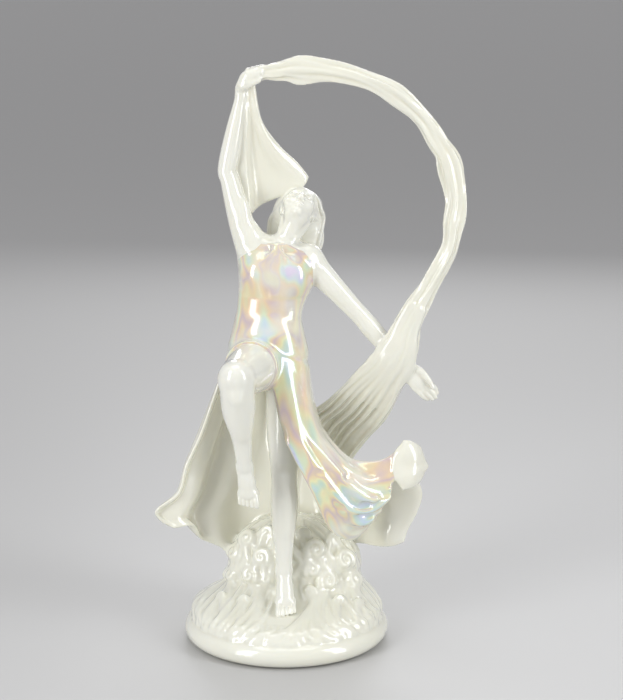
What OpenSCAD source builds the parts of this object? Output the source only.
// A glazed porcelain dancer on a foam mound, holding a long scarf over her head.
// It is made like the real one: separate castings luted together with slip.
// Millimetres, +Z up, the dancer faces -Y, origin at the centre of the flat underside.

/* [Plinth] */
// Largest radius of the round plinth
plinth_r = 52.5; // [51.5:0.5:56]
// Height of the plinth
plinth_h = 11; // [10:0.5:12]
// Radius of the vent hole that slip casting needs
vent_r = 2.5; // [1.5:0.5:4]
// Thickness of the cast wall under the mound
wall_t = 4; // [3:0.5:5]
// Radius of the hollow in the plinth and the mound
cavity_r = 26; // [20:1:28]

/* [Cloth] */
// Thickness of the skirt castings
skirt_t = 3.2; // [2.4:0.2:4]
// Thickness of the flat scarf castings
scarf_t = 3.4; // [2.6:0.2:4.4]
// Thickness of the scarf where it is rolled into the arc
arc_t = 5.5; // [4:0.5:7]

/* [Figure] */
// Scale of the thickness of arms and legs
limb_k = 1; // [0.9:0.05:1.1]
// Number of tongues of foam round the plinth
tongue_count = 24; // [16:1:30]

/* [Hidden] */
porcelain = [0.95, 0.94, 0.88];
lustre = [0.93, 0.87, 0.80];

// ---- Joint centres of the figure ----
hip_left = [1, -5, 140];
knee_left = [-0.8, -16, 91];
ankle_left = [-0.9, -17, 40];
toes_left = [-0.4, -27, 22.6];
hip_right = [-14, -8.4, 145.3];
knee_right = [-22, -51, 147];
ankle_right = [-20, -40, 101];
toes_right = [-17.5, -35, 81];
shoulder_right = [-16, 2, 199];
elbow_right = [-29, 4, 240];
wrist_right = [-21.5, 2, 277];
shoulder_left = [11, 2, 196];
elbow_left = [38, -2, 167.5];
wrist_left = [58, -6, 144.5];
neck_base = [-1.5, 3, 201];
head_base = [4.6, 6, 213.5];
head_centre = [6.3, 8.5, 219.5];
// Towards the crown, and out of the face: the head is thrown back and tilted to her left
head_up = [0.15, 0.90, 0.41];
head_front = [0.18, -0.43, 0.88];

// ---- Curves, lofts and sheets ----
function unit(v) = v / max(norm(v), 1e-6);
function catmull(a, b, c, d, t) =
    0.5 * (2 * b + (c - a) * t + (2 * a - 5 * b + 4 * c - d) * t * t + (3 * b - a - 3 * c + d) * t * t * t);
// A smooth run through the points of p, with n steps between each two
function smooth(p, n) = [
    for (i = [0 : len(p) - 2]) for (k = [0 : n - 1])
        catmull(p[max(i - 1, 0)], p[i], p[i + 1], p[min(i + 2, len(p) - 1)], k / n),
    p[len(p) - 1]];
function transpose(g) = [for (c = [0 : len(g[0]) - 1]) [for (r = [0 : len(g) - 1]) g[r][c]]];
function smooth_grid(g, n, m) = transpose([for (column = transpose([for (row = g)
    smooth(row, m)])) smooth(column, n)]);
function place(s) = [s[0], s[1], s[2]];
function at(point, rx, ry) = [point[0], point[1], point[2], rx, ry];
function mid(a, b, t) = a + (b - a) * t;
// An elliptic ring of a loft: half width rx towards side, half thickness ry across it
function loft_ring(s, tangent, side, sides) =
    let (a = unit(side - tangent * (side * tangent)), b = cross(tangent, a))
    [for (i = [0 : sides - 1]) place(s) + a * s[3] * cos(360 * i / sides) + b * s[4] * sin(360 * i / sides)];

module skin(rings) {
    n = len(rings[0]);
    last = (len(rings) - 1) * n;
    polyhedron([for (r = rings) each r], concat(
        [for (k = [0 : len(rings) - 2]) for (i = [0 : n - 1])
            [k * n + i, (k + 1) * n + i, (k + 1) * n + (i + 1) % n]],
        [for (k = [0 : len(rings) - 2]) for (i = [0 : n - 1])
            [k * n + i, (k + 1) * n + (i + 1) % n, k * n + (i + 1) % n]],
        [[for (i = [0 : n - 1]) i]],
        [[for (i = [n - 1 : -1 : 0]) last + i]]));
}

// A loft through stations of [x, y, z, half width, half thickness]
module loft(stations, side = [1, 0, 0], sides = 12, steps = 3) {
    s = smooth(stations, steps);
    skin([for (i = [0 : len(s) - 1])
        loft_ring(s[i], unit(place(s[min(i + 1, len(s) - 1)]) - place(s[max(i - 1, 0)])), side, sides)]);
}

// A sheet of cloth of thickness t through a grid of points
module sheet(grid, t, n = 3, m = 3) {
    g = smooth_grid(grid, n, m);
    rows = len(g);
    cols = len(g[0]);
    normals = [for (r = [0 : rows - 1]) [for (c = [0 : cols - 1])
        unit(cross(g[r][min(c + 1, cols - 1)] - g[r][max(c - 1, 0)],
                   g[min(r + 1, rows - 1)][c] - g[max(r - 1, 0)][c]))]];
    back = rows * cols;
    front_points = [for (r = [0 : rows - 1]) for (c = [0 : cols - 1]) g[r][c] + normals[r][c] * t / 2];
    back_points = [for (r = [0 : rows - 1]) for (c = [0 : cols - 1]) g[r][c] - normals[r][c] * t / 2];
    // The outline, in order round the sheet
    rim = concat([for (c = [0 : cols - 2]) c], [for (r = [0 : rows - 2]) r * cols + cols - 1],
        [for (c = [cols - 1 : -1 : 1]) (rows - 1) * cols + c],
        [for (r = [rows - 1 : -1 : 1]) r * cols]);
    polyhedron(concat(front_points, back_points), [
        for (r = [0 : rows - 2]) for (c = [0 : cols - 2]) let (q = r * cols + c) each [
            [q, q + cols, q + cols + 1], [q, q + cols + 1, q + 1],
            [back + q, back + q + cols + 1, back + q + cols],
            [back + q, back + q + 1, back + q + cols + 1]],
        for (k = [0 : len(rim) - 1]) let (a = rim[k], b = rim[(k + 1) % len(rim)]) each [
            [a, b, back + b], [a, back + b, back + a]]]);
}

// The first child with the others taken away, worked out as one mesh, so that castings meet face to face
module fitted() {
    resize([0, 0, 0]) difference() {
        children(0);
        if ($children > 1) children([1 : $children - 1]);
    }
}

// ---- Plinth and foam ----
module plinth() {
    round = plinth_h / 2;
    color(porcelain) difference() {
        rotate_extrude($fn = 96) union() {
            translate([plinth_r - round, round]) circle(r = round, $fn = 48);
            square([plinth_r - round, plinth_h]);
        }
        translate([0, 9, wall_t]) cylinder(r = cavity_r, h = plinth_h, $fn = 96);
        translate([0, 18, -1]) cylinder(r = vent_r, h = wall_t + 2, $fn = 32);
    }
}

mound_rings = [[0, 0, plinth_h, 48, 47.5], [0.5, 0.5, 15, 48, 46], [1, 7, 20, 46, 36.5],
    [2.5, 10.5, 24, 41.5, 29.5],
    [4.5, 12, 28, 36, 25], [4, 11.5, 33, 34, 22], [3.4, 10.5, 41, 33.2, 19.5],
    [3.3, 10, 46, 31, 18]];
crest_rings = [[3.3, 10, 46, 28, 15], [3, 10.5, 52, 24, 12.5], [2.5, 11, 57, 18, 9.5],
    [2, 11, 61, 9, 5], [2, 11, 62, 3, 2]];

// A stack of level rings
module stack(rings, sides, steps) { skin([for (s = smooth(rings, steps)) loft_ring(s, [0, 0, 1],
    [1, 0, 0], sides)]); }
module mound_form() { stack(mound_rings, 36, 2); }
module crest_form() { stack(crest_rings, 24, 2); }
// The point of the mound's surface at height k along its rings, at an angle
function mound_at(k, angle) =
    let (i = floor(k), r = mid(mound_rings[i], mound_rings[i + 1], k - i))
    [r[0] + r[3] * cos(angle), r[1] + r[4] * sin(angle), r[2]];

module mound() {
    color(porcelain) fitted() {
        mound_form();
        translate([0, 9, plinth_h - 1]) cylinder(r1 = cavity_r, r2 = 12, h = 29, $fn = 36);
    }
}

module foam_crest() {
    color(porcelain) fitted() {
        crest_form();
        skirt_back_form();
        skirt_flare_form();
        leg_form();
    }
}

// Tongues of foam that run down over the edge of the mound
module foam_tongues() {
    color(porcelain) fitted() {
        union() for (i = [0 : tongue_count - 1]) let (a = i * 360 / tongue_count)
            loft([at(mound_at(3, a + 14), 0.8, 0.6), at(mound_at(2, a + 9), 2.2, 1.5),
                at(mound_at(1.1, a + 3), 2.8, 1.9),
                at(mound_at(0.15, a), 1.6, 1.4)], [-sin(a), cos(a), 0], 6, 2);
        mound_form();
        translate([0, 0, -1]) cylinder(r = 60, h = plinth_h + 1);
    }
}

// A rolled curl of foam: a tapering cord wound on a spiral
module curl(r) {
    loft([for (k = [0 : 15]) let (a = 200 - k * 36, d = r * (1 - k / 19), w = r * (0.34 - k * 0.01))
        [d * cos(a), -0.06 * r * k, d * sin(a), w, w]], [0, 1, 0], 6, 1);
}

// Places of the curls on the mound: [x, y, z, radius, turn about Z]
curls = [[-24, -8, 36, 5, -30], [-29, -3, 28, 5, -50], [-14, -8, 42, 5, -15], [-18, -4, 50, 4.5, -20],
    [13, -10, 42, 5, 10], [24, -7, 41, 6, 25], [33, 1, 36, 6, 45], [17, -14, 31, 5, 15],
    [30, -8, 29, 5.5, 35], [11, -4, 52, 4.5, 10], [26, 30, 30, 6, 145],
    [0, 35, 33, 6.5, 180], [-24, 29, 30, 6, 215]];

module foam_curls() {
    color(porcelain) fitted() {
        union() for (c = curls) translate([c[0], c[1], c[2]]) rotate([0, 0, c[4]]) curl(c[3]);
        mound_form();
        crest_form();
        leg_form();
        skirt_back_form();
        skirt_flare_form();
        panel_form();
    }
}

// ---- Legs ----
module leg_form() {
    loft([at(hip_left, 10 * limb_k, 10 * limb_k),
        at(mid(hip_left, knee_left, 0.35), 10.2 * limb_k, 10.5 * limb_k),
        at(mid(hip_left, knee_left, 0.75), 8 * limb_k, 8 * limb_k),
        at(knee_left, 6.8 * limb_k, 6.8 * limb_k),
        at(mid(knee_left, ankle_left, 0.35), 6.6 * limb_k, 7 * limb_k),
        at(mid(knee_left, ankle_left, 0.75), 4.9 * limb_k, 5 * limb_k),
        at(ankle_left, 4.2 * limb_k, 4.4 * limb_k)]);
}
module foot_form() {
    loft([at(ankle_left, 4.2 * limb_k, 4.4 * limb_k), at(mid(ankle_left, toes_left, 0.45), 4.8, 4.2),
        at(mid(ankle_left, toes_left, 0.8), 6, 3.4), at(toes_left, 5.6, 2.2)]);
}
module thigh_form() {
    loft([at(hip_right, 12.5 * limb_k, 12.5 * limb_k),
        at(mid(hip_right, knee_right, 0.4), 11.8 * limb_k, 11.8 * limb_k),
        at(mid(hip_right, knee_right, 0.8), 9.2 * limb_k, 9.2 * limb_k),
        at(knee_right, 8.2 * limb_k, 8 * limb_k),
        at(knee_right + [-0.5, -4.5, 0], 5 * limb_k, 4.5 * limb_k)]);
}
module shin_form() {
    loft([at(knee_right + [0, 0, 3], 7.6 * limb_k, 7.6 * limb_k),
        at(mid(knee_right, ankle_right, 0.15), 8 * limb_k, 8 * limb_k),
        at(mid(knee_right, ankle_right, 0.38), 7.6 * limb_k, 7.8 * limb_k),
        at(mid(knee_right, ankle_right, 0.75), 4.8 * limb_k, 5 * limb_k),
        at(ankle_right, 4 * limb_k, 4.3 * limb_k)]);
}
module raised_foot_form() {
    loft([at(ankle_right, 4 * limb_k, 4.3 * limb_k), at(mid(ankle_right, toes_right, 0.45), 4.8, 4.3),
        at(mid(ankle_right, toes_right, 0.8), 5.2, 3.2), at(toes_right, 4.4, 2)]);
}

module standing_leg() {
    color(porcelain) fitted() {
        leg_form();
        torso_form();
        panel_form();
        crest_form();
        mound_form();
    }
}
module standing_foot() {
    color(porcelain) fitted() {
        foot_form();
        mound_form();
        leg_form();
    }
}
module raised_thigh() {
    color(porcelain) fitted() {
        thigh_form();
        torso_form();
        panel_form();
        leg_form();
    }
}
module raised_shin() {
    color(porcelain) fitted() {
        shin_form();
        thigh_form();
    }
}
module raised_foot() {
    color(porcelain) fitted() {
        raised_foot_form();
        shin_form();
    }
}

// ---- Torso and dress ----
module torso_form() {
    loft([[-6, -3, 137, 15, 11], [-7.5, -3, 143, 18.5, 13.5], [-8.5, -3, 150, 19.5, 13.5],
        [-8.5, -2, 159, 17.5, 12],
        [-8.2, -1, 168, 15.8, 10.5], [-7, 0, 177, 16.2, 11], [-5, 0, 186, 17.8, 12.5],
        [-4.5, 0.5, 192, 18.3, 12],
        [-3.5, 1.5, 198, 17.5, 9.5], [-2.5, 2.5, 202, 12, 7.5], [-1.5, 3, 204, 8, 6]],
        [1, 0, 0], 24, 2);
}
module torso() { color(lustre) torso_form(); }

// The cloth gathered at the neckline, and the folds that hang from it
module neckline_gather() {
    color(lustre) fitted() {
        union() for (a = [-36, -12, 12, 36])
            loft([[-4 + a * 0.02, -6.2, 202, 1.2, 1], [-4 + a * 0.07, -11, 196, 1.3, 1.2],
                [-4 + a * 0.14, -12.5, 189, 0.8, 0.9]],
                [1, 0, 0], 8, 2);
        torso_form();
    }
}

// The rolled hem of the dress round the raised thigh
module thigh_hem() {
    axis = unit(knee_right - hip_right);
    side = unit(cross(axis, [0, 0, 1]));
    up = cross(side, axis);
    centre = mid(hip_right, knee_right, 0.3);
    color(lustre) fitted() {
        loft([for (k = [0 : 12]) let (a = -30 + k * 20)
            at(centre + (side * cos(a) + up * sin(a)) * 13.4, 1.5, 1.5)], axis, 8, 1);
        thigh_form();
        torso_form();
        panel_form();
        skirt_back_form();
    }
}

// ---- Neck, head and hair ----
module neck_form() {
    loft([at(neck_base, 7.2, 6.5), at(mid(neck_base, head_base, 0.5), 6, 5.8),
        at(head_base + [0.8, 1, 4], 5.8, 5.8)], [1, 0, 0], 14, 2);
}
// A station of the head: a distance up towards the crown, a distance out towards the face, and the two radii
function head_at(up, front, rx, ry) = at(head_centre + head_up * up + head_front * front, rx, ry);
module head_form() {
    loft([head_at(-13, 4.2, 1.8, 1.6), head_at(-11.8, 3.6, 4.2, 3.6),
        head_at(-8, 2, 7, 6.6), head_at(-2, 0.6, 8.8, 9.2),
        head_at(4, 0, 9.2, 10.2), head_at(9, -0.4, 7.8, 8.4),
        head_at(12.2, -0.8, 4.6, 5), head_at(13.2, -1, 1.6, 1.8)],
        [1, 0, 0], 16, 2);
}
module hair_form() {
    loft([[9, 13, 230.5, 2.5, 2], [9, 15, 229, 8, 4], [7.5, 17, 224.5, 11, 6],
        [5.5, 17, 217, 12.6, 6.6], [4.5, 15.5, 208, 12.4, 5.6],
        [4.5, 14.5, 199, 11, 4.4], [4, 15.5, 190, 8.5, 3.8], [3, 16, 182, 4, 2.6],
        [2.6, 16, 179, 1.2, 1.2]], [1, 0, 0], 18, 2);
}
module neck() {
    color(porcelain) fitted() {
        neck_form();
        torso_form();
    }
}
module head() {
    color(porcelain) fitted() {
        head_form();
        neck_form();
    }
}
module hair() {
    color(porcelain) fitted() {
        hair_form();
        head_form();
        neck_form();
        torso_form();
    }
}

// ---- Arms ----
module raised_arm_form() {
    loft([at(shoulder_right, 7.6 * limb_k, 6.4 * limb_k),
        at(mid(shoulder_right, elbow_right, 0.3) + [-1, 0, 0], 6.4 * limb_k, 5.8 * limb_k),
        at(mid(shoulder_right, elbow_right, 0.7) + [-0.5, 0, 0], 5.3 * limb_k, 5 * limb_k),
        at(elbow_right, 4.7 * limb_k, 4.5 * limb_k),
        at(mid(elbow_right, wrist_right, 0.3), 4.7 * limb_k, 4.4 * limb_k),
        at(wrist_right, 2.9 * limb_k, 2.7 * limb_k)]);
}
module raised_hand_form() {
    loft([at(wrist_right, 2.9 * limb_k, 2.7 * limb_k), [-20, 1.5, 282, 3.6, 3.2],
        [-17, 1, 287, 3.6, 3.6],
        [-12, 0.5, 289, 3, 3], [-8.5, 0, 288, 1.6, 1.6]], [0, 1, 0]);
}
module lowered_arm_form() {
    loft([at(shoulder_left, 6.6 * limb_k, 7 * limb_k),
        at(mid(shoulder_left, elbow_left, 0.35), 6 * limb_k, 6.2 * limb_k),
        at(mid(shoulder_left, elbow_left, 0.75), 4.9 * limb_k, 5 * limb_k),
        at(elbow_left, 4.8 * limb_k, 4.8 * limb_k),
        at(mid(elbow_left, wrist_left, 0.35), 5.2 * limb_k, 5.2 * limb_k),
        at(wrist_left, 3.4 * limb_k, 3.6 * limb_k)], [0, 1, 0]);
}
module lowered_hand_form() {
    loft([at(wrist_left, 3.4 * limb_k, 3.6 * limb_k), [63, -6.5, 139, 3.2, 4.2], [69, -7.5, 132, 3, 5],
        [74, -8, 126, 2.2, 4], [76, -8, 124, 1.2, 2.6]], [0, 1, 0]);
}
module raised_arm() {
    color(porcelain) fitted() {
        raised_arm_form();
        torso_form();
    }
}
module raised_hand() {
    color(porcelain) fitted() {
        raised_hand_form();
        raised_arm_form();
        arc_form();
        tail_form();
    }
}
module lowered_arm() {
    color(porcelain) fitted() {
        lowered_arm_form();
        torso_form();
        wrap_form();
        arc_form();
        fall_form();
    }
}
module lowered_hand() {
    color(porcelain) fitted() {
        lowered_hand_form();
        lowered_arm_form();
        wrap_form();
        fall_form();
        arc_form();
    }
}

// ---- Skirt: rows run from the hips to the hem, columns from her right round the back to her left ----
back_grid = [
    [[-27, -2, 151], [-23, 9, 155], [-15, 13.5, 156], [-6, 14.5, 157], [2, 13, 156], [8, 8, 153]],
    [[-35.5, -4, 129], [-29, 11, 132], [-17, 19, 133], [-5, 21, 134], [5, 17, 132], [12, 8, 129]],
    [[-43, -6, 108], [-36, 12, 110], [-21, 23, 111], [-3, 26, 111], [12, 23, 109], [22, 15, 105]],
    [[-50.5, -8, 92], [-43, 7, 90], [-27, 20, 88], [-4, 26, 86], [15, 24, 84], [29, 18, 80]],
    [[-53.5, -10, 78], [-48, 2, 75], [-32, 16, 73], [-7, 25, 72], [14, 24, 71], [31, 17, 68]],
    [[-63.5, -12, 70], [-53, -2, 64], [-38, 12, 60], [-9, 23, 57], [14, 23, 56], [32, 16, 54]],
    [[-57, -10, 61], [-47, -2, 57], [-33, 13, 41], [-9, 23, 38], [13, 23, 38], [31, 15, 40]]];
// Columns run from the open edge over the standing thigh to the outer edge
panel_grid = [
    [[-10, -15.5, 152], [-1, -15.5, 150], [7, -11, 147], [10.5, -4, 143]],
    [[-6, -22, 134], [3, -21.5, 133], [10, -14, 130], [13.5, -3, 125]],
    [[-2, -26, 115], [7, -25, 115], [14, -18, 114], [17.5, -5, 112]],
    [[3, -28, 104], [13, -27, 104], [20, -20, 105], [23.5, -8, 104]],
    [[13, -28, 84], [23, -28, 89], [30, -23, 94], [32, -11, 97]],
    [[22, -22, 63], [33, -25, 75], [39, -24, 87], [41, -13, 96]],
    [[32, -17, 56], [42, -21, 68], [48, -21, 84], [50, -14, 98]],
    [[39, -15, 61], [49, -18, 74], [54, -19, 86], [57, -13, 103]]];
cuff_grid = [
    [[60, -12, 106], [63, -9, 104], [66, -6, 100.5]],
    [[54, -17, 97], [60, -12, 95], [68.5, -6, 91]],
    [[56.5, -19, 84.5], [61, -14, 83], [66.5, -8, 84]]];
flare_grid = [
    [[16, 6, 120], [30, 3, 100], [46, -3, 91], [60, -5, 88], [67, -5, 84]],
    [[22, 9, 100], [36, 6, 84], [48, 1, 78], [60, -1, 75], [68.5, -2, 74]],
    [[28, 13, 74], [38, 11, 66], [48, 6, 62], [57, 1, 61], [65.5, -1, 63]],
    [[31, 13, 45], [39, 10, 44], [47, 5, 46], [54, -1, 47], [61.5, -4, 50]]];

module skirt_back_form() { sheet(back_grid, skirt_t, 3, 3); }
module panel_form() { sheet(panel_grid, skirt_t, 3, 3); }
module skirt_flare_form() { sheet(flare_grid, skirt_t, 3, 3); }
module skirt_back() {
    color(porcelain) fitted() {
        skirt_back_form();
        torso_form();
        mound_form();
        leg_form();
        thigh_form();
    }
}
module skirt_front_panel() {
    color(lustre) fitted() {
        panel_form();
        torso_form();
    }
}
module skirt_cuff() {
    color(porcelain) fitted() {
        sheet(cuff_grid, skirt_t, 3, 3);
        panel_form();
        skirt_flare_form();
    }
}
module skirt_side_flare() {
    color(porcelain) fitted() {
        skirt_flare_form();
        skirt_back_form();
        panel_form();
        mound_form();
        leg_form();
        torso_form();
    }
}

// ---- Scarf ----
module arc_form() {
    t = arc_t / 2;
    loft([[-12, 0, 288, t * 0.8, 2.6], [-3, -0.5, 289, t, 4.6], [5.5, -1, 290, t, 5.8],
        [20, -2, 289.3, t, 5], [36, -2.5, 286, t, 4.5],
        [52, -3.5, 279, t, 4.6], [66, -4.5, 267.5, t, 4], [75, -5, 254.5, t, 4.9],
        [80.5, -5.5, 245, t, 5.3], [84, -6, 228, t, 4.8],
        [82.5, -6.5, 214, t, 5], [80.5, -7, 202, t, 3.9], [72, -8, 186, t, 4.4],
        [65, -8.5, 174, t, 5.4], [60, -9, 163, t, 6.6]],
        [0, 1, 0], 12, 3);
}
// The cloth that wraps the forearm at the wrist
module wrap_form() {
    loft([[60, -9, 163, 3.6, 6.6], [58, -9.5, 155, 4.4, 7.4], [55.5, -9, 147, 4.2, 8.6],
        [51, -8, 139, 3.2, 10.4]], [0, 1, 0], 14, 3);
}
fall_grid = [
    [[44, -7, 148], [50, -8, 145], [56, -8, 142], [61, -6, 138]],
    [[33, 0, 136], [41, -1, 134], [49, -1, 131], [57, 0, 127]],
    [[22, 7, 123], [32, 8, 121], [42, 8, 118], [51, 6, 113]],
    [[12, 13, 113], [21, 15, 110], [32, 14, 106], [42, 11, 101]],
    [[8, 18, 103], [16, 20, 98], [25, 19, 93], [34, 16, 88]]];
tail_grid = [
    [[-19, 3, 283], [-17.5, 2.5, 283], [-15, 3, 282]],
    [[-21, 5, 264], [-16, 5, 265], [-11.5, 5, 264]],
    [[-23, 7, 246], [-13, 7, 249], [-3, 8, 251]],
    [[-22, 8, 230], [-13, 11, 233], [7, 11, 241]],
    [[-18, 8, 220], [-9, 12, 226], [10, 12, 236]]];

module fall_form() { sheet(fall_grid, scarf_t, 3, 3); }
module tail_form() { sheet(tail_grid, scarf_t * 0.8, 3, 4); }
module scarf_arc() { color(porcelain) arc_form(); }
module scarf_wrap() {
    color(porcelain) fitted() {
        wrap_form();
        arc_form();
    }
}
module scarf_fall() {
    color(porcelain) fitted() {
        fall_form();
        wrap_form();
        skirt_back_form();
        skirt_flare_form();
        arc_form();
    }
}
module scarf_tail() {
    color(porcelain) fitted() {
        tail_form();
        raised_arm_form();
        arc_form();
        hair_form();
        head_form();
    }
}

plinth();
mound();
foam_crest();
foam_tongues();
foam_curls();
standing_leg();
standing_foot();
raised_thigh();
raised_shin();
raised_foot();
torso();
neckline_gather();
thigh_hem();
neck();
head();
hair();
raised_arm();
raised_hand();
lowered_arm();
lowered_hand();
skirt_back();
skirt_front_panel();
skirt_cuff();
skirt_side_flare();
scarf_arc();
scarf_wrap();
scarf_fall();
scarf_tail();
